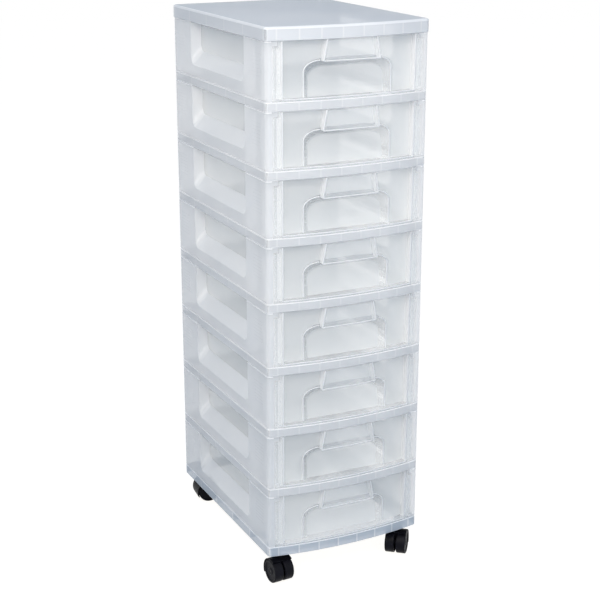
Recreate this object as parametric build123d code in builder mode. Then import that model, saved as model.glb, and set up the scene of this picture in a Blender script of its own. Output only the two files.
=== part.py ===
from build123d import *
from math import atan2, cos, hypot, sin, sqrt
import os

# A drawer tower: eight clear drawers in stacked frames, on four twin-wheel castors.
# Millimetres, +Z up. The front faces -Y and the origin is on the floor under the middle.

# ---- driving dimensions: the stack ----
tier_count = 8
body_width = 297.0          # frames, shelves and base tray, side to side
body_depth = 417.0          # back to the crest of the bowed front
front_bow = 15.0            # how far the middle of the front stands ahead of its corners
corner_radius = 7.0         # upright corners of the plan
frame_height = 96.5
shelf_height = 15.5
tray_height = 18.0
cover_height = 22.5
cover_overhang = 1.5        # the cover's rim stands past the frames all round
cover_top_round = 4.0
castor_height = 54.0        # floor to the underside of the base tray
skin = 2.2                  # wall of the housing mouldings
seam_round = 1.6            # rounded outer edges that leave a groove at each joint

# ---- driving dimensions: rails and decks ----
rail_depth = 14.0           # front skirt to the wall behind it
side_channel = 20.0         # side skirt or wall face to the drawer bay
back_channel = 10.0         # back skirt to the wall ahead of it
rail_rib = 1.6
rail_rib_pitch = 37.4
rail_rib_count = 8
side_rib_count = 4
back_rib_count = 7

# ---- driving dimensions: frames ----
column_depth = 84.0         # plain column at each end of a side wall
sill_face_height = 21.5     # plain wall under the sloping sill
sill_rise = 22.0            # height that the sill gains on its way in
window_corner = 13.0
post_width = 11.0           # front post beside the drawer front
gusset_width = 8.5          # corner block that fills the step of the drawer front
gusset_height = 8.0
grip_count = 7
grip_length = 35.0
grip_pitch = 6.0
grip_thickness = 1.4
grip_proud = 0.6
grip_centre_drop = 40.0     # top of the frame to the middle of the grip ribs
grip_end_distance = 36.5    # end of the side wall to the middle of the grip ribs
back_panel_step = 1.0       # shallow field in the back wall
back_border = 16.0
back_wall_rib_count = 4
back_wall_rib_depth = 3.5

# ---- driving dimensions: clips between frames and decks ----
clip_length = 26.0
clip_thickness = 4.0
clip_height = 8.0
clip_clearance = 0.2
peg_length = 22.0
peg_width = 7.0
peg_height = 5.0

# ---- driving dimensions: drawers ----
drawer_wall = 1.8
drawer_floor = 2.2
drawer_lift = 0.3           # gap between a drawer and the deck that it slides on
head_gap = 0.9              # drawer front to the rail above
side_gap = 0.7              # drawer front to the post beside it
bay_gap = 1.0               # drawer rim to the frame
face_set_back = 0.3         # drawer front behind the rails' face
closed_gap = 0.4            # drawer front border to the frame behind it
tub_height = 87.0
tub_corner = 14.0
rim_width = 3.5
rim_thickness = 2.0
tub_back_gap = 0.8          # rim of the closed drawer to the ribs of the back wall
border_width = 14.8         # flush border at each side of the drawer front
ledge_thickness = 3.0       # flush lip along the bottom of the drawer front
hood_top_half = 46.0        # handle hood, half width at its top
hood_foot_half = 52.0
hood_height = 34.0
hood_wall = 2.2
scoop_half = 80.0           # finger scoop below the hood, half width
scoop_shoulder_drop = 52.0  # drawer top to where the scoop's sides start to curve in
scoop_depth_top = 15.0
scoop_depth_bottom = 9.0
scoop_flank = 1.1           # sideways run of the scoop's flanks for each unit of depth
ring_count_across = 4
ring_count_along = 5
ring_radius = 24.0
ring_width = 2.0
ring_height = 0.7
ring_pitch_across = 56.0
ring_pitch_along = 62.0
drawer_travel = 280.0
stop_gap = 0.5
stop_overlap = 3.0          # lug above the underside of the rail
stop_length = 8.0
stop_width = 4.0

# ---- driving dimensions: castors ----
castor_inset_side = 24.0    # body side to the swivel axis
castor_inset_front = 22.0   # front corner of the body to the swivel axis
castor_inset_back = 22.0
trail = 12.0                # swivel axis to the wheel axle
wheel_radius = 21.0
wheel_bore_clearance = 0.05
castor_width = 38.0
tread_gap = 3.4             # between the two wheels of a castor
tread_round = 1.8
wheel_rim = 3.2
wheel_disc = 3.0
hub_radius = 5.5
hub_end_gap = 0.5           # wheel hub to the web
web_thickness = 2.4
hood_gap = 1.0              # wheel tread to the inside of the castor hood
hood_shell = 2.0
hood_front_angle = 62.0     # hood edge over the wheels, from the forward horizontal
hood_back_angle = 205.0
axle_radius = 2.5
axle_end_set_in = 1.0
wheel_face_set_in = 1.5     # face of the wheel's disc behind the rim
press_clearance = 0.01
boss_radius = 8.0
collar_thickness = 3.0
collar_radius = 9.5
collar_gap = 0.4            # swivelling boss to the fixed collar
stem_radius = 4.0
stem_clearance = 0.05
stem_depth_in_boss = 8.0
socket_wall = 3.5
castor_turns = {            # degrees that each castor stands turned at rest
    "front_left": 4.0,
    "front_right": -40.0,
    "back_left": 84.0,
    "back_right": -60.0,
}

# ---- derived places ----
body_half = body_width / 2
back_y = body_depth / 2
bow_radius = (body_half**2 + front_bow**2) / (2 * front_bow)
bow_centre_y = bow_radius - body_depth / 2
corner_y = front_bow - body_depth / 2
side_length = back_y - corner_y
side_middle_y = (back_y + corner_y) / 2
window_width = side_length - 2 * column_depth
bay_half = body_half - side_channel
bay_back_y = back_y - back_channel
tier_pitch = frame_height + shelf_height
tray_top = castor_height + tray_height
cover_bottom = tray_top + tier_count * frame_height + (tier_count - 1) * shelf_height
margin = 1.0                # how far a cutting shape reaches past the face it cuts


def tier_floor(tier):
    """Height of the deck that the drawer of this tier slides on; tier 1 is the top one."""
    return tray_top + (tier_count - tier) * tier_pitch


def front_y(x, set_in=0.0):
    """Y of the bowed front, or of a surface set in behind it, at this distance from the middle."""
    return bow_centre_y - sqrt((bow_radius - set_in) ** 2 - x**2)


def plan_outline(set_in=0.0, round_off=corner_radius):
    """Plan of the body, drawn in by the same distance on all four sides."""
    half = body_half - set_in
    with BuildSketch() as outline:
        with BuildLine():
            Polyline((-half, front_y(half, set_in)), (-half, back_y - set_in),
                     (half, back_y - set_in), (half, front_y(half, set_in)))
            ThreePointArc((half, front_y(half, set_in)), (0, front_y(0, set_in)),
                          (-half, front_y(half, set_in)))
        make_face()
        fillet(outline.vertices(), radius=round_off)
    return outline.sketch


def front_strip(half, near, far):
    """Plan strip that follows the bowed front, between two depths behind the rails' face."""
    with BuildSketch() as strip:
        with BuildLine():
            ThreePointArc((-half, front_y(half, near)), (0, front_y(0, near)), (half, front_y(half, near)))
            Line((half, front_y(half, near)), (half, front_y(half, far)))
            ThreePointArc((half, front_y(half, far)), (0, front_y(0, far)), (-half, front_y(half, far)))
            Line((-half, front_y(half, far)), (-half, front_y(half, near)))
        make_face()
    return strip.sketch


def bay_outline(grow=0.0):
    """Plan of the drawer bay behind the rail, let out by the same distance on all four sides."""
    half = bay_half + grow
    set_in = rail_depth + skin - grow
    rear = bay_back_y + grow
    with BuildSketch() as outline:
        with BuildLine():
            ThreePointArc((-half, front_y(half, set_in)), (0, front_y(0, set_in)),
                          (half, front_y(half, set_in)))
            Polyline((half, front_y(half, set_in)), (half, rear), (-half, rear),
                     (-half, front_y(half, set_in)))
        make_face()
    return outline.sketch


def outer_rim_edges(part):
    """Edges round the lowest and the highest face of a plain block."""
    levels = part.faces().filter_by(Axis.Z).sort_by(Axis.Z)
    return levels[0].edges() + levels[-1].edges()


def rail_ribs():
    """Plan of the short ribs between the skirt and the bay wall, on the front, sides and back."""
    front_middle = (rail_depth + skin) / 2
    for number in range(rail_rib_count):
        x = (number - (rail_rib_count - 1) / 2) * rail_rib_pitch
        with Locations((x, front_y(x, front_middle))):
            Rectangle(rail_rib, rail_depth)
    side_x = body_half - side_channel / 2
    rib_spacing = window_width / (side_rib_count - 1)
    with Locations((0, side_middle_y)):
        with GridLocations(2 * side_x, rib_spacing, 2, side_rib_count):
            Rectangle(side_channel - skin, rail_rib)
    with Locations((0, back_y - back_channel / 2)):
        with GridLocations(rail_rib_pitch, back_channel, back_rib_count, 1):
            Rectangle(rail_rib, back_channel - skin)


def deck_pegs(height):
    """Four low pegs on a deck that locate the frame standing on it."""
    with Locations((0, side_middle_y, height)):
        with GridLocations(2 * (body_half - side_channel / 2), side_length - column_depth, 2, 2):
            Box(peg_width, peg_length, peg_height, align=(Align.CENTER, Align.CENTER, Align.MIN))


# ---- shelf: deck with a ribbed rail all round, one between each two tiers ----
with BuildPart() as shelf_form:
    with BuildSketch():
        add(plan_outline())
    extrude(amount=shelf_height)
    fillet(outer_rim_edges(shelf_form), radius=seam_round)
    with BuildSketch():
        add(plan_outline(skin, corner_radius - skin))
    extrude(amount=shelf_height - skin, mode=Mode.SUBTRACT)
    with BuildSketch():
        add(bay_outline(skin))
        add(bay_outline(), mode=Mode.SUBTRACT)
    extrude(amount=shelf_height - skin)
    with BuildSketch():
        rail_ribs()
    extrude(amount=shelf_height - skin)
    deck_pegs(shelf_height)

# ---- base tray: the lowest deck, with a socket for each castor ----
castor_x = body_half - castor_inset_side
castor_front_y = corner_y + castor_inset_front
castor_back_y = back_y - castor_inset_back
castor_spots = {
    "front_left": (-castor_x, castor_front_y),
    "front_right": (castor_x, castor_front_y),
    "back_left": (-castor_x, castor_back_y),
    "back_right": (castor_x, castor_back_y),
}
with BuildPart() as base_tray:
    with BuildSketch(Plane.XY.offset(castor_height)):
        add(plan_outline())
    extrude(amount=tray_height)
    fillet(outer_rim_edges(base_tray), radius=seam_round)
    with BuildSketch(Plane.XY.offset(castor_height)):
        add(plan_outline(skin, corner_radius - skin))
    extrude(amount=tray_height - skin, mode=Mode.SUBTRACT)
    with BuildSketch(Plane.XY.offset(castor_height)):
        add(bay_outline(skin))
        add(bay_outline(), mode=Mode.SUBTRACT)
    extrude(amount=tray_height - skin)
    with BuildSketch(Plane.XY.offset(castor_height)):
        rail_ribs()
    extrude(amount=tray_height - skin)
    with BuildSketch(Plane.XY.offset(castor_height)):
        with Locations(*castor_spots.values()):
            Circle(stem_radius + socket_wall)
    extrude(amount=tray_height - skin)
    with BuildSketch(Plane.XY.offset(castor_height)):
        with Locations(*castor_spots.values()):
            Circle(stem_radius + stem_clearance)
    extrude(amount=tray_height - skin, mode=Mode.SUBTRACT)
    deck_pegs(tray_top)

# ---- top cover: lid with a deep ribbed rim ----
with BuildPart() as top_cover:
    with BuildSketch(Plane.XY.offset(cover_bottom)):
        add(plan_outline(-cover_overhang, corner_radius + cover_overhang))
    extrude(amount=cover_height)
    cover_levels = top_cover.faces().filter_by(Axis.Z).sort_by(Axis.Z)
    fillet(cover_levels[-1].edges(), radius=cover_top_round)
    fillet(top_cover.faces().filter_by(Axis.Z).sort_by(Axis.Z)[0].edges(), radius=seam_round)
    with BuildSketch(Plane.XY.offset(cover_bottom)):
        add(plan_outline(skin - cover_overhang, corner_radius + cover_overhang - skin))
    extrude(amount=cover_height - skin, mode=Mode.SUBTRACT)
    with BuildSketch(Plane.XY.offset(cover_bottom)):
        add(bay_outline(skin))
        add(bay_outline(), mode=Mode.SUBTRACT)
    extrude(amount=cover_height - skin)
    with BuildSketch(Plane.XY.offset(cover_bottom)):
        rail_ribs()
    extrude(amount=cover_height - skin)

# ---- frame: two side walls with windows and a back, built as a right half and mirrored ----
panel_set_in = face_set_back + rail_depth
notch_depth = panel_set_in + drawer_wall + closed_gap
opening_half = body_half - post_width
sill_slope = sill_rise / side_channel
sill_skin = skin * hypot(1, sill_slope)
front_pocket_start = front_y(body_half, notch_depth) + skin
back_pocket_end = back_y - skin
column_middle = side_length - column_depth


def window_section(x):
    """Window with rounded lower corners; its foot climbs with the sill on the way in."""
    foot = sill_face_height + (body_half - x) * sill_slope
    head = frame_height + margin
    with BuildSketch(Plane.YZ.offset(x)) as section:
        with Locations((side_middle_y, (foot + head) / 2)):
            Rectangle(window_width, head - foot)
        fillet(section.vertices().group_by(Axis.Y)[0], radius=window_corner)
    return section.sketch


def wall_pocket(start_y, end_y):
    """Hollow on the inner side of a column, between its end webs."""
    with Locations((bay_half - margin, (start_y + end_y) / 2, frame_height / 2)):
        Box(side_channel - skin + margin, end_y - start_y, frame_height - 2 * skin,
            align=(Align.MIN, Align.CENTER, Align.CENTER), mode=Mode.SUBTRACT)


with BuildPart() as frame_form:
    with BuildSketch():
        add(plan_outline())
    extrude(amount=frame_height)
    fillet(outer_rim_edges(frame_form), radius=seam_round)
    split(bisect_by=Plane.YZ)
    with BuildSketch():
        with Locations((0, back_y - skin)):
            Rectangle(2 * bay_half, body_depth, align=(Align.CENTER, Align.MAX))
        add(front_strip(opening_half, -margin, notch_depth))
    extrude(amount=frame_height, mode=Mode.SUBTRACT)
    # the corner block beside the drawer front's step
    with BuildSketch(Plane.XY.offset(frame_height - gusset_height)):
        add(front_strip(opening_half + margin, 0, notch_depth))
        with Locations((opening_half - gusset_width, 0)):
            Rectangle(body_width, body_depth, align=(Align.MAX, Align.CENTER), mode=Mode.SUBTRACT)
    extrude(amount=gusset_height)
    # the window, its jambs and the sloping sill
    loft([window_section(body_half + margin), window_section(bay_half - margin)],
         ruled=True, mode=Mode.SUBTRACT)
    # the hollow inner side of both columns and of the sill
    wall_pocket(front_pocket_start, corner_y + column_depth - skin)
    wall_pocket(back_y - column_depth + skin, back_pocket_end)
    with BuildSketch(Plane.XZ.offset(-(side_middle_y + window_width / 2 - skin))):
        with BuildLine():
            Polyline((bay_half - margin, skin), (body_half - skin, skin),
                     (body_half - skin, sill_face_height + skin * sill_slope - sill_skin),
                     (bay_half - margin, sill_face_height + (side_channel + margin) * sill_slope - sill_skin),
                     close=True)
        make_face()
    extrude(amount=window_width - 2 * skin, mode=Mode.SUBTRACT)
    # grip ribs on the outside of both columns
    grip_spacing = side_length - 2 * grip_end_distance
    with BuildSketch(Plane.YZ.offset(body_half)):
        with Locations((side_middle_y, frame_height - grip_centre_drop)):
            with GridLocations(grip_spacing, grip_pitch, 2, grip_count):
                Rectangle(grip_length, grip_thickness)
    extrude(amount=grip_proud)
    # clips that stand inside the rail above, and slots for the pegs of the deck below
    with Locations((body_half - skin - clip_clearance, side_middle_y, frame_height)):
        with GridLocations(1, column_middle, 1, 2):
            Box(clip_thickness, clip_length, clip_height, align=(Align.MAX, Align.CENTER, Align.MIN))
    with Locations((body_half - side_channel / 2, side_middle_y, 0)):
        with GridLocations(1, column_middle, 1, 2):
            Box(peg_width + 2 * clip_clearance, peg_length + 2 * clip_clearance, skin,
                align=(Align.CENTER, Align.CENTER, Align.MIN), mode=Mode.SUBTRACT)
    # upright ribs inside the back wall, and the shallow field outside it
    with BuildSketch():
        with Locations((0, back_y - skin - back_wall_rib_depth / 2)):
            with GridLocations(bay_half / back_wall_rib_count * 2, 1, back_wall_rib_count, 1):
                Rectangle(rail_rib, back_wall_rib_depth)
        Rectangle(body_width, body_depth, align=(Align.MAX, Align.CENTER), mode=Mode.SUBTRACT)
    extrude(amount=frame_height)
    with BuildSketch(Plane.XZ.offset(-back_y)):
        with Locations((0, frame_height / 2)):
            Rectangle(body_width - 2 * back_border, frame_height - 2 * back_border)
        fillet(vertices(), radius=window_corner / 2)
    extrude(amount=back_panel_step, mode=Mode.SUBTRACT)
    mirror(about=Plane.YZ)

# ---- drawer: one moulding, built from its own underside at z = 0 ----
drawer_height = frame_height - drawer_lift - head_gap
front_half = opening_half - side_gap
tub_half = bay_half - bay_gap - rim_width
tub_back_y = back_y - skin - back_wall_rib_depth - tub_back_gap - rim_width
hood_foot_z = drawer_height - hood_height
scoop_shoulder_z = drawer_height - scoop_shoulder_drop
shoulder_width = scoop_half - hood_foot_half
shoulder_height = hood_foot_z - scoop_shoulder_z
panel_front_y = front_y(0, panel_set_in)
scoop_edge_y = front_y(scoop_half, panel_set_in)
scoop_tilt = atan2(scoop_depth_top - scoop_depth_bottom, hood_foot_z)
stop_front_y = front_y(tub_half + rim_width, rail_depth + skin) + stop_gap + drawer_travel
stop_top = frame_height - drawer_lift + stop_overlap
border_inner_half = front_half - border_width
notch_half = opening_half - gusset_width - side_gap
notch_z = frame_height - gusset_height - drawer_lift - head_gap


def tub_outline(grow=0.0):
    """Plan of the tub behind the bowed panel, let out by the same distance on its sides and back."""
    half = tub_half + grow
    set_in = panel_set_in - grow
    with BuildSketch() as outline:
        with BuildLine():
            ThreePointArc((-half, front_y(half, set_in)), (0, front_y(0, set_in)),
                          (half, front_y(half, set_in)))
            Polyline((half, front_y(half, set_in)), (half, tub_back_y + grow),
                     (-half, tub_back_y + grow), (-half, front_y(half, set_in)))
        make_face()
        fillet(outline.vertices().group_by(Axis.Y)[-1], radius=tub_corner + grow)
    return outline.sketch


def scoop_section(plane, inset, foot):
    """Front view of the finger scoop, with the shoulders that curve in to the handle hood."""
    side = scoop_half - inset
    neck = hood_foot_half - inset
    shoulder = scoop_shoulder_z - inset
    crown = shoulder + shoulder_height
    with BuildSketch(plane) as section:
        with BuildLine():
            EllipticalCenterArc((neck, shoulder), shoulder_width, shoulder_height)
            Line((neck, crown), (-neck, crown))
            EllipticalCenterArc((-neck, shoulder), shoulder_width, shoulder_height, start_angle=90)
            Polyline((-side, shoulder), (-side, foot), (side, foot), (side, shoulder))
        make_face()
    return section.sketch


def scoop_sections(grow, foot):
    """Scoop at the panel and at its own tilted back, let out by the wall where it is the skin."""
    near_y = panel_front_y - margin
    far_y = panel_front_y + scoop_depth_bottom + grow
    near_inset = scoop_flank * (near_y - scoop_edge_y) - grow
    far_inset = scoop_flank * (panel_front_y + scoop_depth_top - scoop_edge_y) - grow
    far_plane = Plane((0, far_y, 0), x_dir=(1, 0, 0), z_dir=(0, -cos(scoop_tilt), sin(scoop_tilt)))
    return [scoop_section(Plane.XZ.offset(-near_y), near_inset, foot),
            scoop_section(far_plane, far_inset, foot)]


def hood_outline(inset):
    """Front view of the handle hood, a trapezoid that widens downwards."""
    with BuildSketch() as outline:
        with BuildLine():
            Polyline((-hood_foot_half + inset, hood_foot_z - margin),
                     (-hood_top_half + inset, drawer_height - inset),
                     (hood_top_half - inset, drawer_height - inset),
                     (hood_foot_half - inset, hood_foot_z - margin), close=True)
        make_face()
    return outline.sketch


with BuildPart() as scoop_skin:
    loft(scoop_sections(drawer_wall, 0), ruled=True)
    with BuildSketch():
        add(tub_outline())
    extrude(amount=drawer_height, mode=Mode.INTERSECT)

with BuildPart() as scoop_hollow:
    loft(scoop_sections(0, ledge_thickness), ruled=True)

with BuildPart() as hood_block:
    with BuildSketch(Plane.XZ.offset(-(panel_front_y + front_bow))):
        add(hood_outline(0))
    extrude(amount=rail_depth + 2 * front_bow)
    with BuildSketch(Plane.XY.offset(hood_foot_z)):
        add(front_strip(hood_foot_half + margin, face_set_back, panel_set_in + drawer_wall))
    extrude(amount=hood_height, mode=Mode.INTERSECT)

with BuildPart() as hood_hollow:
    with BuildSketch(Plane.XZ.offset(-(panel_front_y + front_bow))):
        add(hood_outline(hood_wall))
    extrude(amount=rail_depth + 2 * front_bow)
    with BuildSketch(Plane.XY.offset(hood_foot_z - margin)):
        add(front_strip(hood_foot_half + margin, face_set_back + hood_wall, panel_set_in))
    extrude(amount=hood_height + margin, mode=Mode.INTERSECT)

with BuildPart() as drawer_form:
    # tub: floor, sides, back and rolled rim
    with BuildSketch():
        add(tub_outline())
    extrude(amount=tub_height)
    with BuildSketch(Plane.XY.offset(tub_height - rim_thickness)):
        add(tub_outline(rim_width))
        add(front_strip(tub_half + rim_width + margin, -margin, panel_set_in), mode=Mode.SUBTRACT)
    extrude(amount=rim_thickness)
    # the bowed panel, the flush border at each side and the flush lip below
    with BuildSketch():
        add(front_strip(front_half, panel_set_in, panel_set_in + drawer_wall))
    extrude(amount=drawer_height)
    with BuildSketch():
        add(front_strip(front_half, face_set_back, panel_set_in))
        Rectangle(2 * border_inner_half, body_depth, mode=Mode.SUBTRACT)
    extrude(amount=drawer_height)
    with BuildSketch():
        add(front_strip(border_inner_half + margin, face_set_back, panel_set_in))
    extrude(amount=ledge_thickness)
    add(hood_block.part)
    # hollow of the tub, then the skin of the scoop that stands in it
    with BuildSketch(Plane.XY.offset(drawer_floor)):
        add(tub_outline(-drawer_wall))
    extrude(amount=drawer_height, mode=Mode.SUBTRACT)
    add(scoop_skin.part)
    add(scoop_hollow.part, mode=Mode.SUBTRACT)
    add(hood_hollow.part, mode=Mode.SUBTRACT)
    # the borders are hollow from behind, and stepped where the frame has its corner block
    with BuildSketch(Plane.XY.offset(ledge_thickness)):
        add(front_strip(front_half - drawer_wall, face_set_back + drawer_wall, notch_depth))
        Rectangle(2 * tub_half, body_depth, mode=Mode.SUBTRACT)
    extrude(amount=notch_z - 2 * ledge_thickness, mode=Mode.SUBTRACT)
    with BuildSketch(Plane.XY.offset(notch_z)):
        add(front_strip(front_half + margin, -margin, notch_depth))
        Rectangle(2 * notch_half, body_depth, mode=Mode.SUBTRACT)
    extrude(amount=drawer_height, mode=Mode.SUBTRACT)
    # raised rings in the floor, and the lugs that stop the drawer when it is pulled out
    with BuildSketch(Plane.XY.offset(drawer_floor)):
        with Locations((0, (panel_front_y + scoop_depth_top + tub_back_y) / 2)):
            with GridLocations(ring_pitch_across, ring_pitch_along, ring_count_across, ring_count_along):
                Circle(ring_radius)
                Circle(ring_radius - ring_width, mode=Mode.SUBTRACT)
    extrude(amount=ring_height)
    with Locations((0, stop_front_y, tub_height - rim_thickness)):
        with GridLocations(2 * (tub_half + rim_width) - stop_width, 1, 2, 1):
            Box(stop_width, stop_length, stop_top - tub_height + rim_thickness,
                align=(Align.CENTER, Align.MIN, Align.MIN))

# ---- castor: stem, housing, axle and wheel, built about the swivel axis with the axle ahead of it ----
axle_spot = (0, -trail, wheel_radius)
axle_plane = Plane(axle_spot, x_dir=(1, 0, 0), z_dir=(0, -1, 0))
hood_plane = Plane(axle_spot, x_dir=(0, 1, 0), z_dir=(1, 0, 0))
hood_inner = wheel_radius + hood_gap
hood_outer = hood_inner + hood_shell
boss_top = castor_height - collar_thickness - collar_gap
stem_foot = boss_top - stem_depth_in_boss + collar_gap


def hood_sector(radius):
    """Side view of the covered part of the wheels, from behind and over the top."""
    first = 180 - hood_back_angle
    sweep = hood_back_angle - hood_front_angle
    with BuildSketch() as sector:
        with BuildLine():
            covered = CenterArc((0, 0), radius, first, sweep)
            Polyline(covered @ 1, (0, 0), covered @ 0)
        make_face()
    return sector.sketch


with BuildPart() as housing_form:
    with BuildSketch(hood_plane):
        add(hood_sector(hood_outer))
    extrude(amount=castor_width / 2, both=True)
    with BuildSketch(Plane.XY.offset(wheel_radius)):
        Circle(boss_radius)
    extrude(amount=boss_top - wheel_radius)
    with BuildSketch(hood_plane):
        Circle(hood_inner)
    extrude(amount=castor_width, both=True, mode=Mode.SUBTRACT)
    with BuildSketch(hood_plane):
        add(hood_sector(hood_inner + hood_shell / 2))
        Circle(hub_radius + hub_end_gap)
    extrude(amount=web_thickness / 2, both=True)
    with BuildSketch(hood_plane):
        Circle(axle_radius + press_clearance)
    extrude(amount=castor_width, both=True, mode=Mode.SUBTRACT)
    with BuildSketch(Plane.XY.offset(boss_top)):
        Circle(stem_radius + stem_clearance)
    extrude(amount=-stem_depth_in_boss, mode=Mode.SUBTRACT)

with BuildPart() as axle_form:
    with BuildSketch(hood_plane):
        Circle(axle_radius)
    extrude(amount=castor_width / 2 - axle_end_set_in, both=True)

with BuildPart() as wheel_form:
    rim_inner = wheel_radius - wheel_rim
    bore = axle_radius + wheel_bore_clearance
    outer_x = castor_width / 2
    disc_outer_x = outer_x - wheel_face_set_in
    disc_inner_x = disc_outer_x - wheel_disc
    hub_x = web_thickness / 2 + hub_end_gap
    with BuildSketch(axle_plane):
        with BuildLine():
            Polyline((tread_gap / 2, rim_inner), (tread_gap / 2, wheel_radius), (outer_x, wheel_radius),
                     (outer_x, rim_inner), (disc_outer_x, rim_inner - wheel_face_set_in),
                     (disc_outer_x, hub_radius + wheel_face_set_in), (outer_x - axle_end_set_in / 2, hub_radius),
                     (outer_x - axle_end_set_in / 2, bore), (hub_x, bore), (hub_x, hub_radius),
                     (disc_inner_x, hub_radius), (disc_inner_x, rim_inner), close=True)
        make_face()
        fillet(vertices().group_by(Axis.Y)[-1], radius=tread_round)
    revolve(axis=Axis(axle_spot, (1, 0, 0)))

with BuildPart() as stem_form:
    with BuildSketch(Plane.XY.offset(stem_foot)):
        Circle(stem_radius)
    extrude(amount=tray_top - skin - margin - stem_foot)
    with BuildSketch(Plane.XY.offset(castor_height)):
        Circle(collar_radius)
    extrude(amount=-collar_thickness)

# ---- the pieces in their places, one file for each ----
os.makedirs("parts", exist_ok=True)
for fixed, name in ((base_tray, "base_tray"), (top_cover, "top_cover")):
    fixed.part.label = name
    export_step(fixed.part, f"parts/{name}.step")

for tier in range(1, tier_count + 1):
    floor_height = tier_floor(tier)
    places = [("frame", frame_form, floor_height), ("drawer", drawer_form, floor_height + drawer_lift)]
    if tier < tier_count:
        places.append(("shelf", shelf_form, floor_height - shelf_height))
    for kind, form, height in places:
        with BuildPart() as piece:
            with Locations((0, 0, height)):
                add(form.part)
        piece.part.label = f"{kind}_{tier}"
        export_step(piece.part, f"parts/{kind}_{tier}.step")

for corner, (swivel_x, swivel_y) in castor_spots.items():
    swivel = Location((swivel_x, swivel_y, 0), (0, 0, castor_turns[corner]))
    forms = {"stem": stem_form, "housing": housing_form, "axle": axle_form, "wheel_a": wheel_form}
    for kind, form in forms.items():
        with BuildPart() as piece:
            with Locations(swivel):
                add(form.part)
        piece.part.label = f"{kind}_{corner}"
        export_step(piece.part, f"parts/{kind}_{corner}.step")
    with BuildPart() as piece:
        with Locations(swivel):
            add(mirror(wheel_form.part, about=Plane.YZ, mode=Mode.PRIVATE))
    piece.part.label = f"wheel_b_{corner}"
    export_step(piece.part, f"parts/wheel_b_{corner}.step")
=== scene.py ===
import logging
import math
from collections.abc import Callable
from dataclasses import dataclass, field
from enum import Enum

import bpy
import numpy as np
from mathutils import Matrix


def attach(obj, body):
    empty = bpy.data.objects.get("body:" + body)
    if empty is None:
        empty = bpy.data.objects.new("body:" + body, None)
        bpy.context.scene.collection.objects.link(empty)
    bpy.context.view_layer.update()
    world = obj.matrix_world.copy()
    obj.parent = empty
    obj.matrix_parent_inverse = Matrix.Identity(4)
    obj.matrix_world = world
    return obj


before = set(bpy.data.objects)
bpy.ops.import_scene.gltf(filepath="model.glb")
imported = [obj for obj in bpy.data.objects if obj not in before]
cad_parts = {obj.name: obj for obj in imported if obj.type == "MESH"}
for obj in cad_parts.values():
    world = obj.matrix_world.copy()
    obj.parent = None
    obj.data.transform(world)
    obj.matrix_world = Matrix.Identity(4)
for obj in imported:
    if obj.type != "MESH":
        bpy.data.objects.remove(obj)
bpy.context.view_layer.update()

TIER_COUNT = 8
CORNERS = ("front_left", "front_right", "back_left", "back_right")
LEVEL = 0.98  # upward part of a normal from which a face is level
LEANING = 0.05  # upward part of a normal from which a face leans
SENSOR_WIDTH = 36.0  # millimetres, as the lens is
LIGHT_BOUNCES = 8
SEE_THROUGH_BOUNCES = 96  # clear faces that a ray may pass

logging.basicConfig(level=logging.INFO, format="%(message)s")
log = logging.getLogger("drawer_tower")


class Face(Enum):
    """Kinds of surface on a clear moulding, each with a finish of its own.

    On a drawer, which has no skirt, the last kind is the hood's face and the scoop's flanks.
    """

    WALL = 0
    SEAM = 1
    RIB = 2
    BAND = 3
    DECK = 4
    SKIRT = 5


# ---------------------------------------------------------------- node building


class NodeSheet:
    """A node tree that is filled from left to right.

    Args:
        tree: The material's or the group's node tree.
    """

    def __init__(self, tree: bpy.types.NodeTree) -> None:
        self.tree = tree
        self.tree.nodes.clear()

    def node(self, kind: str, **settings: object) -> bpy.types.Node:
        """Adds a node and sets its plain properties.

        Args:
            kind: The node's type name.
            settings: Properties such as operation or noise_dimensions.

        Returns:
            The new node.
        """
        made = self.tree.nodes.new(kind)
        for name, value in settings.items():
            setattr(made, name, value)
        made.location = (180 * len(self.tree.nodes), 0)
        return made

    def link(self, source: bpy.types.NodeSocket, target: bpy.types.NodeSocket) -> None:
        """Joins an output to an input."""
        self.tree.links.new(source, target)

    def maths(
        self, operation: str, *operands: bpy.types.NodeSocket | float
    ) -> bpy.types.NodeSocket:
        """Works out a value from sockets and numbers.

        Args:
            operation: The kind of sum.
            operands: What it takes, in order, each a socket or a number.

        Returns:
            The result's socket.
        """
        made = self.node("ShaderNodeMath", operation=operation)
        for target, operand in zip(made.inputs, operands):
            if isinstance(operand, bpy.types.NodeSocket):
                self.link(operand, target)
            else:
                target.default_value = operand
        return made.outputs["Value"]


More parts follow.
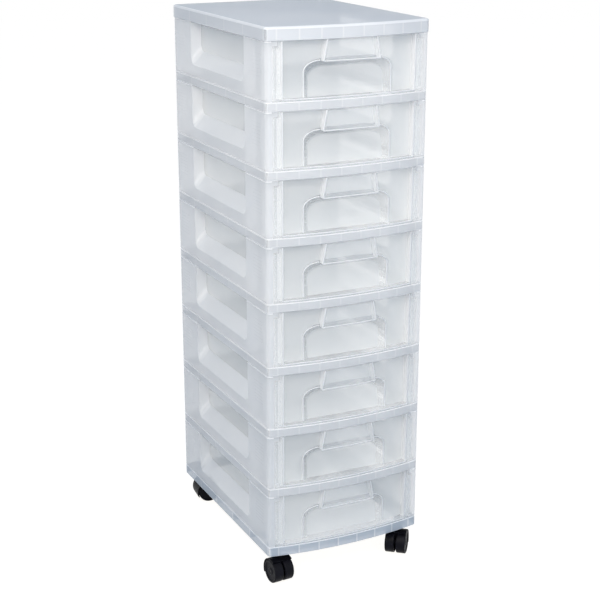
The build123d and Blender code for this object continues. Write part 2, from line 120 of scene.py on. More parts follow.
def moulded_skin_group() -> bpy.types.NodeTree:
    """Builds the shader node group of a moulded plastic skin, once for all finishes.

    Cloudy patches mix two tints, a finer cloud moves the roughness up and down, and a
    fine grain gives the height of a bump. All three are noises of the place in space.

    Returns:
        The group, with Color, Roughness and Normal as its outputs.
    """
    tree = bpy.data.node_groups.new("moulded_skin", "ShaderNodeTree")
    sockets = (
        ("Tint", "INPUT", "NodeSocketColor"),
        ("Cloud Tint", "INPUT", "NodeSocketColor"),
        ("Cloud Scale", "INPUT", "NodeSocketFloat"),
        ("Roughness Low", "INPUT", "NodeSocketFloat"),
        ("Roughness High", "INPUT", "NodeSocketFloat"),
        ("Grain Scale", "INPUT", "NodeSocketFloat"),
        ("Grain Height", "INPUT", "NodeSocketFloat"),
        ("Color", "OUTPUT", "NodeSocketColor"),
        ("Roughness", "OUTPUT", "NodeSocketFloat"),
        ("Normal", "OUTPUT", "NodeSocketVector"),
    )
    for name, way, kind in sockets:
        tree.interface.new_socket(name=name, in_out=way, socket_type=kind)
    sheet = NodeSheet(tree)
    inputs = sheet.node("NodeGroupInput")
    place = sheet.node("ShaderNodeTexCoord")

    cloud = sheet.node("ShaderNodeTexNoise")
    cloud.inputs["Detail"].default_value = 3.0
    sheet.link(place.outputs["Object"], cloud.inputs["Vector"])
    sheet.link(inputs.outputs["Cloud Scale"], cloud.inputs["Scale"])
    spread = sheet.node("ShaderNodeMapRange")
    spread.inputs["From Min"].default_value = 0.3
    spread.inputs["From Max"].default_value = 0.7
    sheet.link(cloud.outputs["Fac"], spread.inputs["Value"])
    tints = sheet.node("ShaderNodeMix", data_type="RGBA")
    sheet.link(spread.outputs["Result"], tints.inputs["Factor"])
    sheet.link(inputs.outputs["Tint"], tints.inputs["A"])
    sheet.link(inputs.outputs["Cloud Tint"], tints.inputs["B"])

    rubbed = sheet.node("ShaderNodeMapRange")
    sheet.link(cloud.outputs["Fac"], rubbed.inputs["Value"])
    sheet.link(inputs.outputs["Roughness Low"], rubbed.inputs["To Min"])
    sheet.link(inputs.outputs["Roughness High"], rubbed.inputs["To Max"])

    grain = sheet.node("ShaderNodeTexNoise")
    grain.inputs["Detail"].default_value = 2.0
    sheet.link(place.outputs["Object"], grain.inputs["Vector"])
    sheet.link(inputs.outputs["Grain Scale"], grain.inputs["Scale"])
    bump = sheet.node("ShaderNodeBump")
    bump.inputs["Distance"].default_value = 0.0004
    sheet.link(inputs.outputs["Grain Height"], bump.inputs["Strength"])
    sheet.link(grain.outputs["Fac"], bump.inputs["Height"])

    results = sheet.node("NodeGroupOutput")
    sheet.link(tints.outputs["Result"], results.inputs["Color"])
    sheet.link(rubbed.outputs["Result"], results.inputs["Roughness"])
    sheet.link(bump.outputs["Normal"], results.inputs["Normal"])
    return tree


MOULDED_SKIN = moulded_skin_group()


@dataclass(frozen=True)
class RibLines:
    """The pale lines on a skirt where the ribs behind it make the wall thicker; their white is
    painted light, for the light that the thicker plastic scatters.

    Attributes:
        pitch: Spacing of the ribs along the front and the back, in metres.
        side_pitch: Spacing along the sides.
        side_middle: Y of the middle of the sides.
        half_width: Half the width of a line.
        softness: Width over which a line fades out.
    """

    pitch: float = 0.0374
    side_pitch: float = 0.078
    side_middle: float = 0.0075
    half_width: float = 0.0009
    softness: float = 0.0008

    def group(self) -> bpy.types.NodeTree:
        """Builds the shader node group, once for all skirts.

        The distance to the nearest rib is a triangle wave of x at the front and back and of
        y at the sides. The front and the sides have an even number of ribs, so their wave
        is moved by half a pitch, and the back an odd one.

        Returns:
            The group; its Factor is 1 on a line and 0 between the lines.
        """
        tree = bpy.data.node_groups.new("rib_lines", "ShaderNodeTree")
        tree.interface.new_socket(name="Factor", in_out="OUTPUT", socket_type="NodeSocketFloat")
        sheet = NodeSheet(tree)
        place = sheet.node("ShaderNodeTexCoord")
        spot = sheet.node("ShaderNodeSeparateXYZ")
        facing = sheet.node("ShaderNodeSeparateXYZ")
        sheet.link(place.outputs["Object"], spot.inputs["Vector"])
        sheet.link(place.outputs["Normal"], facing.inputs["Vector"])
        at_front = sheet.maths("LESS_THAN", facing.outputs["Y"], 0.0)
        moved = sheet.maths("MULTIPLY", at_front, self.pitch / 2)
        along = sheet.maths("ADD", spot.outputs["X"], moved)
        near_front = sheet.maths("PINGPONG", along, self.pitch / 2)
        beside = sheet.maths("ADD", spot.outputs["Y"], self.side_pitch / 2 - self.side_middle)
        near_side = sheet.maths("PINGPONG", beside, self.side_pitch / 2)
        turned = sheet.maths("ABSOLUTE", facing.outputs["X"])
        at_side = sheet.maths("GREATER_THAN", turned, 0.7)
        distance = sheet.node("ShaderNodeMix", data_type="FLOAT")
        sheet.link(at_side, distance.inputs["Factor"])
        sheet.link(near_front, distance.inputs["A"])
        sheet.link(near_side, distance.inputs["B"])
        fade = sheet.node("ShaderNodeMapRange")
        fade.inputs["From Min"].default_value = self.half_width
        fade.inputs["From Max"].default_value = self.half_width + self.softness
        fade.inputs["To Min"].default_value = 1.0
        fade.inputs["To Max"].default_value = 0.0
        sheet.link(distance.outputs["Result"], fade.inputs["Value"])
        results = sheet.node("NodeGroupOutput")
        sheet.link(fade.outputs["Result"], results.inputs["Factor"])
        return tree


RIB_LINES = RibLines().group()


@dataclass(frozen=True)
class MouldedFinish:
    """Finish of one kind of plastic surface.

    Attributes:
        name: The material's name.
        tint: Main colour.
        cloud_tint: Colour of its faint cloudy patches.
        alpha: How solid one face of the wall is; a wall has two faces.
        roughness: Lowest and highest roughness over the surface.
        cloud_scale: Patches per metre.
        grain_scale: Grains per metre.
        grain_height: Strength of the grain's bump.
        shine: Specular level of the skin.
        rib_painted_light: How white the lines of the ribs behind the surface are.
    """

    name: str
    tint: tuple[float, float, float]
    cloud_tint: tuple[float, float, float]
    alpha: float = 1.0
    roughness: tuple[float, float] = (0.3, 0.45)
    cloud_scale: float = 9.0
    grain_scale: float = 900.0
    grain_height: float = 0.1
    shine: float = 0.5
    # The white of the rib lines is painted light.
    rib_painted_light: float = 0.0

    def material(self) -> bpy.types.Material:
        """Makes the material, with its constants on the shader's own sockets.

        Returns:
            The new material.
        """
        made = bpy.data.materials.new(self.name)
        made.use_nodes = True
        made.surface_render_method = "BLENDED" if self.alpha < 1.0 else "DITHERED"
        sheet = NodeSheet(made.node_tree)
        skin = sheet.node("ShaderNodeGroup", node_tree=MOULDED_SKIN)
        skin.inputs["Tint"].default_value = (*self.tint, 1.0)
        skin.inputs["Cloud Tint"].default_value = (*self.cloud_tint, 1.0)
        skin.inputs["Cloud Scale"].default_value = self.cloud_scale
        skin.inputs["Roughness Low"].default_value = self.roughness[0]
        skin.inputs["Roughness High"].default_value = self.roughness[1]
        skin.inputs["Grain Scale"].default_value = self.grain_scale
        skin.inputs["Grain Height"].default_value = self.grain_height
        shader = sheet.node("ShaderNodeBsdfPrincipled")
        shader.inputs["Alpha"].default_value = self.alpha
        shader.inputs["Specular IOR Level"].default_value = self.shine
        sheet.link(self._lined(sheet, skin.outputs["Color"]), shader.inputs["Base Color"])
        for name in ("Roughness", "Normal"):
            sheet.link(skin.outputs[name], shader.inputs[name])
        output = sheet.node("ShaderNodeOutputMaterial")
        sheet.link(shader.outputs["BSDF"], output.inputs["Surface"])
        return made

    def _lined(self, sheet: NodeSheet, colour: bpy.types.NodeSocket) -> bpy.types.NodeSocket:
        """The colour with the rib lines painted over it in white, where the finish has them:
        painted light.
        """
        if self.rib_painted_light == 0.0:
            return colour
        lines = sheet.node("ShaderNodeGroup", node_tree=RIB_LINES)
        strength = sheet.maths("MULTIPLY", lines.outputs["Factor"], self.rib_painted_light)
        mix = sheet.node("ShaderNodeMix", data_type="RGBA")
        mix.inputs["B"].default_value = (1.0, 1.0, 1.0, 1.0)
        sheet.link(strength, mix.inputs["Factor"])
        sheet.link(colour, mix.inputs["A"])
        return mix.outputs["Result"]


@dataclass(frozen=True)
class ClearMoulding:
    """The finishes of one clear moulding, one for each kind of surface.

    Attributes:
        name: First word of the materials' names.
        tint: Colour of the plastic where it is thick.
        cloud_tint: Colour of its faint patches.
        solidity: Alpha of one face, for each kind of surface.
        painted_light_lean: How far each kind of surface leans to white.
        rib_painted_light: How white the lines of the ribs behind the skirt are.
    """

    name: str
    tint: tuple[float, float, float]
    cloud_tint: tuple[float, float, float]
    solidity: dict[Face, float]
    # Each kind's lean to white is painted light: highlights on seams, ribs and edges, and lighter
    # faces.
    painted_light_lean: dict[Face, float]
    # The white of the rib lines is painted light.
    rib_painted_light: float = 0.0

    def materials(self) -> list[bpy.types.Material]:
        """Makes one material for each kind of surface, in the order of the kinds.

        Returns:
            The materials.
        """
        return [self._finish(kind).material() for kind in Face]

    def _finish(self, kind: Face) -> MouldedFinish:
        """Finish of one kind of surface."""
        # Leaning the tint and the cloud tint to white paints light on this kind of surface.
        painted_lean = self.painted_light_lean[kind]
        tint = tuple(c + (1.0 - c) * painted_lean for c in self.tint)
        cloud = tuple(c + (1.0 - c) * painted_lean for c in self.cloud_tint)
        lines = self.rib_painted_light if kind is Face.SKIRT else 0.0
        return MouldedFinish(f"{self.name}_{kind.name.lower()}", tint, cloud, self.solidity[kind],
                             rib_painted_light=lines)


def per_face(*values: float) -> dict[Face, float]:
    """One value for each kind of surface, in the order wall, seam, rib, band, deck, skirt."""
    return dict(zip(Face, values, strict=True))


# In these finishes the lean to white of seams, ribs, bands, skirts and the cover's walls is painted
# light: highlights on rounded edges and ribs, and faces made lighter where the lamps leave them
# dark.
HOUSING = ClearMoulding(
    "clear_housing", (0.86, 0.87, 0.885), (0.82, 0.84, 0.865),
    solidity=per_face(0.42, 0.75, 0.3, 0.45, 0.22, 0.54),
    painted_light_lean=per_face(0.0, 0.9, 0.9, 0.0, 0.0, 0.35),
    rib_painted_light=1.0,
)
# The base tray's tint is darker and bluer than the other mouldings': painted shade for the darker,
# bluer foot of the tower.
BASE = ClearMoulding(
    "clear_base", (0.60, 0.66, 0.73), (0.56, 0.63, 0.71),
    solidity=per_face(0.5, 0.85, 0.4, 0.6, 0.35, 0.74),
    painted_light_lean=per_face(0.0, 0.6, 0.6, 0.4, 0.0, 0.0),
    rib_painted_light=0.6,
)
COVER = ClearMoulding(
    "clear_cover", (0.80, 0.83, 0.87), (0.77, 0.81, 0.86),
    solidity=per_face(0.45, 0.8, 0.3, 0.5, 0.6, 0.68),
    painted_light_lean=per_face(0.3, 0.8, 0.6, 0.4, 0.0, 0.55),
    rib_painted_light=1.0,
)
DRAWER = ClearMoulding(
    "clear_drawer", (0.915, 0.93, 0.93), (0.885, 0.91, 0.915),
    solidity=per_face(0.27, 0.6, 0.5, 0.25, 0.24, 0.16),
    painted_light_lean=per_face(0.0, 0.8, 0.6, 0.1, 0.0, 0.0),
)
CASTOR_BLACK = MouldedFinish(
    "castor_black", (0.003, 0.003, 0.0045), (0.005, 0.005, 0.008), 1.0, (0.34, 0.48),
    cloud_scale=60.0, grain_scale=2500.0, grain_height=0.25, shine=0.06)
TREAD_BLACK = MouldedFinish(
    "tread_black", (0.0035, 0.0035, 0.0055), (0.006, 0.006, 0.010), 1.0, (0.36, 0.5),
    cloud_scale=80.0, grain_scale=3000.0, grain_height=0.35, shine=0.08)
# Near-white bead finish: painted highlights along the drawers' rounded edges.
GLINT_BEAD = MouldedFinish(
    "painted_glint_bead", (0.98, 0.985, 0.985), (0.96, 0.97, 0.975), 0.8, (0.3, 0.4))


# ---------------------------------------------------------------- reading and dressing CAD nodes


@dataclass
class FaceReading:
    """Normals and middles of a mesh's faces, in metres.

    Attributes:
        normal: One unit vector for each face.
        middle: One point for each face.
    """

    normal: np.ndarray
    middle: np.ndarray

    @classmethod
    def of(cls, mesh: bpy.types.Mesh) -> "FaceReading":
        """Reads a mesh as whole arrays."""
        count = len(mesh.polygons)
        normal = np.zeros(count * 3, np.float32)
        middle = np.zeros(count * 3, np.float32)
        mesh.polygons.foreach_get("normal", normal)
        mesh.polygons.foreach_get("center", middle)
        return cls(normal.reshape(-1, 3), middle.reshape(-1, 3))


def lowest(node: str) -> float:
    """Height of a CAD node's underside."""
    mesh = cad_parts[node].data
    points = np.zeros(len(mesh.vertices) * 3, np.float32)
    mesh.vertices.foreach_get("co", points)
    return float(points.reshape(-1, 3)[:, 2].min())


def dress(node: str, kinds: np.ndarray, materials: list[bpy.types.Material]) -> None:
    """Gives each face of a CAD node the material of its kind.

    Args:
        node: The CAD node's name.
        kinds: Index of the material for each face.
        materials: The materials, in the order of the kinds.
    """
    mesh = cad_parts[node].data
    mesh.materials.clear()
    for material in materials:
        mesh.materials.append(material)
    mesh.polygons.foreach_set("material_index", kinds.astype(np.int32))
    mesh.update()


@dataclass
class Housing:
    """The fixed mouldings of the tower: frames, shelves, base tray and top cover.

    Attributes:
        bow_radius: Radius of the bowed front, in metres.
        bow_centre: Y of that radius's centre.
        skirt: Depth from the outline within which a face belongs to the skirt.
        post_depth: Depth of the front posts of a frame.
        sideways: Sideways part of a normal from which a face belongs to a side wall.
        frame_height: Height of a frame without its clips.
        rim_band: Height at a frame's top and bottom that belongs to its seams.
        foot_band: Height at a deck's underside that belongs to its seam.
    """

    bow_radius: float = 0.7426
    bow_centre: float = 0.5341
    skirt: float = 0.0008
    post_depth: float = 0.019
    sideways: float = 0.97
    frame_height: float = 0.0965
    rim_band: float = 0.002
    foot_band: float = 0.0002
    housing_materials: list[bpy.types.Material] = field(default_factory=HOUSING.materials)
    cover_materials: list[bpy.types.Material] = field(default_factory=COVER.materials)
    base_materials: list[bpy.types.Material] = field(default_factory=BASE.materials)

    def depth_behind_front(self, middle: np.ndarray) -> np.ndarray:
        """Distance of each point behind the bowed front.

        It is the bow's radius less the point's distance from the bow's centre.
        """
        reach = np.hypot(middle[:, 0], self.bow_centre - middle[:, 1])
        return self.bow_radius - reach

    def deck_kinds(self, reading: FaceReading) -> np.ndarray:
        """Sorts the faces of a shelf, tray or cover.

        Upright faces on the outline are the skirt, other upright faces are ribs and the bay
        wall, level faces are the deck, and what leans is the rounded seam.

        Args:
            reading: The node's faces.

        Returns:
            A kind for each face.
        """
        rise = np.abs(reading.normal[:, 2])
        low = reading.middle[:, 2].min()
        kinds = np.full(len(rise), Face.RIB.value)
        outward = self.on_outline(reading)
        kinds[outward] = Face.SKIRT.value
        kinds[rise > LEVEL] = Face.DECK.value
        kinds[(rise > LEANING) & (rise <= LEVEL)] = Face.SEAM.value
        kinds[(rise > LEVEL) & (reading.middle[:, 2] < low + self.foot_band)] = Face.SEAM.value
        return kinds

    def on_outline(self, reading: FaceReading) -> np.ndarray:
        """Faces on the outside of the skirt, at the sides, at the back or on the bowed front."""
        x, y = np.abs(reading.middle[:, 0]), reading.middle[:, 1]
        out_x = x.max() - self.skirt
        out_y = y.max() - self.skirt
        near = self.depth_behind_front(reading.middle)
        return (x > out_x) | (y > out_y) | (near < near.min() + self.skirt)

    def frame_kinds(self, reading: FaceReading) -> np.ndarray:
        """Sorts the faces of a frame.

        Faces that look forward near the bowed front are the posts, level faces are rims, and
        what leans at the top and the bottom is the rounded seam.

        Args:
            reading: The node's faces.

        Returns:
            A kind for each face.
        """
        normal, middle = reading.normal, reading.middle
        rise = np.abs(normal[:, 2])
        height = middle[:, 2] - middle[:, 2].min()
        kinds = np.full(len(rise), Face.WALL.value)
        forward = np.abs(normal[:, 0]) < self.sideways
        kinds[forward & (self.depth_behind_front(middle) < self.post_depth)] = Face.BAND.value
        kinds[rise > LEVEL] = Face.DECK.value
        at_top = np.abs(height - self.frame_height) < self.rim_band
        kinds[(rise > LEANING) & ((height < self.rim_band) | at_top)] = Face.SEAM.value
        return kinds

    def build(self) -> None:
        """Dresses every fixed moulding.

        The frames' shadows are switched off, which lightens the insides.
        """
        for tier in range(1, TIER_COUNT):
            self._dress(f"shelf_{tier}", self.deck_kinds, self.housing_materials)
        for tier in range(1, TIER_COUNT + 1):
            self._dress(f"frame_{tier}", self.frame_kinds, self.housing_materials)
            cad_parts[f"frame_{tier}"].visible_shadow = False
        self._dress("top_cover", self.deck_kinds, self.cover_materials)
        self._dress("base_tray", self.deck_kinds, self.base_materials)

    def _dress(
        self,
        node: str,
        sort: Callable[[FaceReading], np.ndarray],
        materials: list[bpy.types.Material],
    ) -> None:
        """Dresses one node by one way of sorting."""
        reading = FaceReading.of(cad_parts[node].data)
        kinds = sort(reading)
        dress(node, kinds, materials)
        log.info("%s: %d faces, %s", node, len(kinds), np.bincount(kinds, minlength=len(Face)))


@dataclass
class Drawers:
    """The eight drawers.

    Attributes:
        housing: The tower, which knows the bowed front.
        panel_depth: Front face of the rails to the recessed panel of a drawer.
        hood_half: Middle of the drawer to the widest part of the handle hood.
        hood_foot: Height above which only the hood stands ahead of the panel.
        border_inner: Middle of the drawer to just outside the inner side of a border.
        scoop_half: Middle of the drawer to just outside the scoop.
        scoop_depth: Depth of the scoop behind the panel.
        margin: How far ahead of the panel a face has to be to count as ahead.
        frontward: Forward part of a normal from which a face looks forward.
        edgewise: Sideways part of a normal from which a face is seen edge-on.
        flank: Forward part of a normal below which a face in the scoop is its flank.
        materials: One material for each kind of surface.
    """

    housing: Housing
    panel_depth: float = 0.0143
    hood_half: float = 0.056
    hood_foot: float = 0.05
    border_inner: float = 0.1245
    scoop_half: float = 0.081
    scoop_depth: float = 0.02
    margin: float = 0.0004
    frontward: float = 0.8
    edgewise: float = 0.9
    flank: float = 0.9
    materials: list[bpy.types.Material] = field(default_factory=DRAWER.materials)

    def kinds(self, reading: FaceReading) -> np.ndarray:
        """Sorts the faces of a drawer.

        Faces ahead of the recessed panel belong to the borders, the ledge and the hood. Those
        that are seen edge-on, the inner sides of the borders and the hood's own sides, are
        whiter, a painted highlight. The hood's skirt and the flanks of the scoop are the thinnest.

        Args:
            reading: The node's faces.

        Returns:
            A kind for each face.
        """
        across, forward, rise = np.abs(reading.normal).T
        off_middle = np.abs(reading.middle[:, 0])
        depth = self.housing.depth_behind_front(reading.middle)
        height = reading.middle[:, 2] - reading.middle[:, 2].min()
        kinds = np.full(len(rise), Face.WALL.value)
        kinds[rise > LEVEL] = Face.DECK.value
        ahead = depth < self.panel_depth - self.margin
        kinds[ahead] = Face.BAND.value
        hood_face = (off_middle < self.hood_half) & (forward > self.frontward)
        kinds[hood_face & ahead & (height > self.hood_foot)] = Face.SKIRT.value
        in_scoop = ~ahead & (depth < self.panel_depth + self.scoop_depth)
        in_scoop &= off_middle < self.scoop_half
        kinds[in_scoop & (forward < self.flank)] = Face.SKIRT.value
        # Edge-on faces take the whiter rib finish: a painted highlight.
        edge_on = ahead & (across > self.edgewise) & (off_middle < self.border_inner)
        kinds[edge_on] = Face.RIB.value
        return kinds

    def build(self) -> None:
        """Dresses every drawer and, as for the frames, switches its shadow off."""
        for tier in range(1, TIER_COUNT + 1):
            node = f"drawer_{tier}"
            reading = FaceReading.of(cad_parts[node].data)
            kinds = self.kinds(reading)
            dress(node, kinds, self.materials)
            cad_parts[node].visible_shadow = False
            log.info("%s: %d faces, %s", node, len(kinds), np.bincount(kinds, minlength=len(Face)))


@dataclass
class BeadPath:
    """Centre line of one raised bead on the front of a drawer.

    Attributes:
        points: One row of x and z for each station, above the drawer's underside.
        depth: Front face of the rails to the surface that the bead stands on.
    """

    points: np.ndarray
    depth: float

    @classmethod
    def straight(
        cls, start: tuple[float, float], end: tuple[float, float], depth: float, stations: int = 12
    ) -> "BeadPath":
        """A straight bead, with enough stations to follow the bow."""
        return cls(np.linspace(start, end, stations), depth)

    @property
    def mirrored(self) -> "BeadPath":
        """The same bead on the other half of the drawer, run the other way."""
        return BeadPath((self.points * np.array([-1.0, 1.0]))[::-1], self.depth)


@dataclass
class EdgeBeads:
    """Raised near-white beads along the edges on the front of each drawer: painted highlights for
    the glints of the rounded edges.

    Attributes:
        housing: The tower, which knows the bowed front.
        face: Front face of the rails to the face of borders, ledge and hood.
        panel: Front face of the rails to the recessed panel.
        height: Height of the drawer's front.
        ledge: Height of the flush lip.
        border: Middle of the drawer to the inner edge of a border.
        hood_top: Half width of the hood at its top.
        hood_foot: Half width of the hood at its foot, where the scoop's shoulder meets it.
        scoop: Half width of the scoop.
        shoulder: Height at which the scoop's side starts to curve in.
        crown: Height of the hood's foot.
        half_width: Half the width of a bead on its surface.
        half_height: How far a bead stands out.
        corners: Points round a bead.
        upright_stations: Stations along the upright side of the scoop.
        bend_stations: Stations along its bend.
    """

    housing: Housing
    face: float = 0.0003
    panel: float = 0.0143
    height: float = 0.0953
    ledge: float = 0.003
    border: float = 0.1215
    hood_top: float = 0.0455
    hood_foot: float = 0.0515
    scoop: float = 0.080
    shoulder: float = 0.0433
    crown: float = 0.0613
    half_width: float = 0.0011
    half_height: float = 0.0004
    corners: int = 8
    upright_stations: int = 16
    bend_stations: int = 20

    def scoop_path(self) -> BeadPath:
        """Outline of the scoop's right half: an upright, then a quarter of an ellipse."""
        rise = np.linspace(self.ledge, self.shoulder, self.upright_stations, endpoint=False)
        upright = np.stack([np.full_like(rise, self.scoop), rise], 1)
        angle = np.linspace(0.0, math.pi / 2, self.bend_stations)
        reach = np.array([self.scoop - self.hood_foot, self.crown - self.shoulder])
        centre = np.array([self.hood_foot, self.shoulder])
        bend = centre + reach * np.stack([np.cos(angle), np.sin(angle)], 1)
        return BeadPath(np.concatenate([upright, bend]), self.panel)

    def paths(self) -> list[BeadPath]:
        """All beads of one drawer."""
        foot = (self.hood_foot, self.crown)
        lip = (self.border, self.ledge)
        halves = [
            self.scoop_path(),
            BeadPath.straight(lip, (self.border, self.height), self.face),
            BeadPath.straight(foot, (self.hood_top, self.height), self.face),
        ]
        across = [
            BeadPath.straight((-foot[0], foot[1]), foot, self.face),
            BeadPath.straight((-lip[0], lip[1]), lip, self.face),
        ]
        return halves + [path.mirrored for path in halves] + across

    def surface(self, path: BeadPath) -> np.ndarray:
        """Points of a bead's skin, ring after ring.

        Each ring is an ellipse: its wide axis lies in the front, square to the path, and its
        short one points forward. The front's y follows the bow: centre less the root of
        radius squared less x squared.

        Args:
            path: The bead's centre line.

        Returns:
            The points.
        """
        along = np.gradient(path.points, axis=0)
        along /= np.linalg.norm(along, axis=1, keepdims=True)
        across = np.stack([along[:, 1], -along[:, 0]], 1)
        angle = np.linspace(0.0, 2 * math.pi, self.corners, endpoint=False)
        spread = self.half_width * np.cos(angle)
        wide = path.points[:, None, :] + across[:, None, :] * spread[None, :, None]
        radius = self.housing.bow_radius - path.depth
        bow = self.housing.bow_centre - np.sqrt(radius**2 - wide[..., 0] ** 2)
        y = bow - self.half_height * np.sin(angle)[None, :]
        return np.stack([wide[..., 0], y, wide[..., 1]], -1).reshape(-1, 3)

    def quads(self, stations: int, first: int) -> np.ndarray:
        """Corners of a bead's faces.

        Args:
            stations: How many rings it has.
            first: Number of its first point.
        """
        ring = np.arange(stations - 1)[:, None] * self.corners
        beyond = ring + self.corners
        corner = np.arange(self.corners)[None, :]
        after = (corner + 1) % self.corners
        around = [ring + corner, ring + after, beyond + after, beyond + corner]
        return np.stack(around, -1).reshape(-1, 4) + first

    def build(self) -> None:
        """Adds the beads of every drawer, one piece for each drawer."""
        material = GLINT_BEAD.material()
        skins = [self.surface(path) for path in self.paths()]
        firsts = np.cumsum([0] + [len(skin) for skin in skins])
        faces = [self.quads(len(skin) // self.corners, first) for skin, first in zip(skins, firsts)]
        points = np.concatenate(skins)
        quads = np.concatenate(faces).tolist()
        for tier in range(1, TIER_COUNT + 1):
            mesh = bpy.data.meshes.new(f"edge_beads_{tier}")
            mesh.from_pydata((points + (0.0, 0.0, lowest(f"drawer_{tier}"))).tolist(), [], quads)
            mesh.polygons.foreach_set("use_smooth", np.ones(len(quads), bool))
            mesh.materials.append(material)
            beads = bpy.data.objects.new(mesh.name, mesh)
            bpy.context.scene.collection.objects.link(beads)
            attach(beads, f"drawer_{tier}")
        log.info("edge beads: %d faces for each drawer", len(quads))


@dataclass
class Castors:
    """The four twin-wheel castors."""

    def build(self) -> None:
        """Dresses the housings, wheels, axles and stems."""
        black = CASTOR_BLACK.material()
        tread = TREAD_BLACK.material()
        plated = self.steel("plated_steel", 0.6)
        blackened = self.steel("blackened_steel", 0.02)
        for corner in CORNERS:
            for kind, material in (("housing", black), ("wheel_a", tread), ("wheel_b", tread),
                                   ("axle", blackened), ("stem", plated)):
                node = f"{kind}_{corner}"
                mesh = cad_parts[node].data
                dress(node, np.zeros(len(mesh.polygons)), [material])
            log.info("castor %s", corner)

    def steel(self, name: str, shade: float) -> bpy.types.Material:
        """Steel with faint clouds in its colour and roughness.

        Args:
            name: The material's name.
            shade: How bright the metal is.

        Returns:
            The new material.
        """
        bluish, cloudy = 1.03 * shade, 0.9 * shade
        finish = MouldedFinish(
            name, (shade, shade, bluish), (cloudy,) * 3, 1.0, (0.25, 0.4),
            cloud_scale=120.0, grain_scale=2000.0, grain_height=0.1)
        made = finish.material()
        shader = next(n for n in made.node_tree.nodes if n.type == "BSDF_PRINCIPLED")
        shader.inputs["Metallic"].default_value = 1.0
        return made


# ---------------------------------------------------------------- studio


@dataclass
class SoftBox:
    """A square area lamp.

    Attributes:
        name: The lamp's name.
        place: Where it stands, in metres.
        target: Where it points.
        size: Side of the square.
        power: Watts.
        colour: Its colour.
    """

    name: str
    place: tuple[float, float, float]
    target: tuple[float, float, float]
    size: float
    power: float
    colour: tuple[float, float, float] = (1.0, 1.0, 1.0)

    def build(self) -> None:
        """Adds the lamp to the scene."""
        data = bpy.data.lights.new(self.name, "AREA")
        data.shape = "SQUARE"
        data.size = self.size
        data.energy = self.power
        data.color = self.colour
        lamp = bpy.data.objects.new(self.name, data)
        lamp.location = self.place
        aim = np.subtract(self.target, self.place)
        lamp.rotation_euler = aim_angles(aim)
        bpy.context.scene.collection.objects.link(lamp)


def aim_angles(aim: np.ndarray) -> tuple[float, float, float]:
    """Angles that turn a lamp or camera, which looks down at rest, along a direction.

    Args:
        aim: The direction to look in.

    Returns:
        The turns about X, Y and Z.
    """
    tip = math.atan2(math.hypot(aim[0], aim[1]), -aim[2])
    turn = math.atan2(-aim[0], aim[1])
    return tip, 0.0, turn


LAMPS = (
    SoftBox("key", (0.1, -2.6, 2.1), (0.0, -0.2, 0.95), 3.0, 24.0, (1.0, 0.97, 0.94)),
    SoftBox("left_near", (-1.3, -1.6, 1.9), (-0.15, -0.12, 1.0), 1.2, 36.0, (1.0, 0.92, 0.84)),
    SoftBox("left_far", (-1.7, -1.5, 1.3), (-0.15, 0.0, 0.7), 1.6, 5.0, (0.88, 0.97, 1.0)),
    SoftBox("low", (0.4, -2.3, 0.4), (0.0, -0.2, 0.2), 1.6, 4.0, (0.7, 0.85, 1.0)),
)


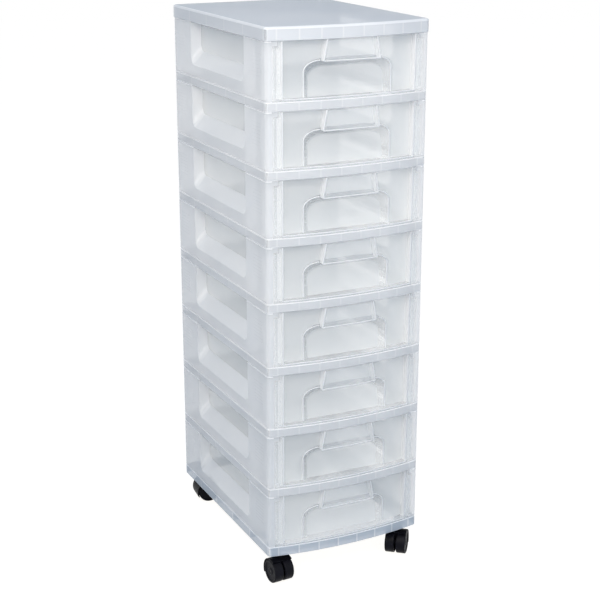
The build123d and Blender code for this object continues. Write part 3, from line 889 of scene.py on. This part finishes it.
@dataclass
class Studio:
    """Camera, lamps, world and floor.

    Attributes:
        camera_place: The camera, in metres.
        camera_turn: Angle of its aim from +Y towards +X.
        camera_drop: Angle of its aim below the horizon.
        lens: Focal length for the sensor's width.
        fill: Colour and strength of the light from all round.
        floor_tint: Colour that the floor throws back at the tower.
        floor_radius: Radius of the round floor.
        floor_points: Points on its rim.
    """

    camera_place: tuple[float, float, float] = (-1.0558, -2.1997, 1.2229)
    camera_turn: float = 0.4496
    camera_drop: float = 0.3055
    lens: float = 83.65
    fill: tuple[float, float, float] = (0.235, 0.32, 0.43)
    floor_tint: tuple[float, float, float] = (0.18, 0.22, 0.27)
    floor_radius: float = 9.0
    floor_points: int = 96

    def build(self) -> None:
        """Builds the studio."""
        self.camera()
        self.world()
        self.floor()
        for lamp in LAMPS:
            lamp.build()
        bpy.context.scene.view_settings.view_transform = "Standard"
        bpy.context.scene.cycles.transparent_max_bounces = SEE_THROUGH_BOUNCES
        bpy.context.scene.cycles.max_bounces = LIGHT_BOUNCES
        log.info("studio ready")

    def camera(self) -> None:
        """Adds the camera at the photograph's angle."""
        data = bpy.data.cameras.new("camera")
        data.sensor_width = SENSOR_WIDTH
        data.lens = self.lens
        camera = bpy.data.objects.new("camera", data)
        camera.location = self.camera_place
        camera.rotation_euler = (math.pi / 2 - self.camera_drop, 0.0, -self.camera_turn)
        bpy.context.scene.collection.objects.link(camera)
        bpy.context.scene.camera = camera

    def world(self) -> None:
        """Pale blue light from all round, and plain white for the camera, mirrors and glass."""
        world = bpy.data.worlds.new("studio")
        world.use_nodes = True
        bpy.context.scene.world = world
        sheet = NodeSheet(world.node_tree)
        path = sheet.node("ShaderNodeLightPath")
        seen = self.seen_ray(sheet, path)
        light = sheet.node("ShaderNodeBackground")
        light.inputs["Color"].default_value = (*self.fill, 1.0)
        paper = sheet.node("ShaderNodeBackground")
        mix = sheet.node("ShaderNodeMixShader")
        paper.inputs["Color"].default_value = (1.0, 1.0, 1.0, 1.0)
        sheet.link(seen, mix.inputs["Fac"])
        sheet.link(light.outputs["Background"], mix.inputs[1])
        sheet.link(paper.outputs["Background"], mix.inputs[2])
        output = sheet.node("ShaderNodeOutputWorld")
        sheet.link(mix.outputs["Shader"], output.inputs["Surface"])

    def seen_ray(self, sheet: NodeSheet, path: bpy.types.Node) -> bpy.types.NodeSocket:
        """The largest of Is Camera Ray, Is Glossy Ray and Is Transmission Ray."""
        straight = path.outputs["Is Camera Ray"]
        mirrored = sheet.maths("MAXIMUM", straight, path.outputs["Is Glossy Ray"])
        return sheet.maths("MAXIMUM", mirrored, path.outputs["Is Transmission Ray"])

    def floor(self) -> None:
        """A round floor that reads as white paper, with a rim of points worked out at once.

        For the camera it glows with just what the light from all round leaves short of white.
        """
        angle = np.linspace(0.0, 2 * math.pi, self.floor_points, endpoint=False)
        circle = np.stack([np.cos(angle), np.sin(angle), np.zeros_like(angle)], 1)
        mesh = bpy.data.meshes.new("floor")
        rim = (circle * self.floor_radius).tolist()
        mesh.from_pydata(rim, [], [list(range(len(rim)))])
        floor = bpy.data.objects.new("floor", mesh)
        bpy.context.scene.collection.objects.link(floor)
        made = bpy.data.materials.new("floor_paper")
        made.use_nodes = True
        sheet = NodeSheet(made.node_tree)
        path = sheet.node("ShaderNodeLightPath")
        seen = self.seen_ray(sheet, path)
        shader = sheet.node("ShaderNodeBsdfPrincipled")
        shader.inputs["Base Color"].default_value = (*self.floor_tint, 1.0)
        shader.inputs["Roughness"].default_value = 0.9
        shader.inputs["Specular IOR Level"].default_value = 0.0
        glow = tuple(1.0 - tint * light for tint, light in zip(self.floor_tint, self.fill))
        shader.inputs["Emission Color"].default_value = (*glow, 1.0)
        sheet.link(seen, shader.inputs["Emission Strength"])
        output = sheet.node("ShaderNodeOutputMaterial")
        sheet.link(shader.outputs["BSDF"], output.inputs["Surface"])
        mesh.materials.append(made)


def main() -> None:
    """Builds the studio, then dresses the tower, the drawers and the castors."""
    Studio().build()
    housing = Housing()
    housing.build()
    Drawers(housing).build()
    EdgeBeads(housing).build()
    Castors().build()


if __name__ == "__main__":
    main()
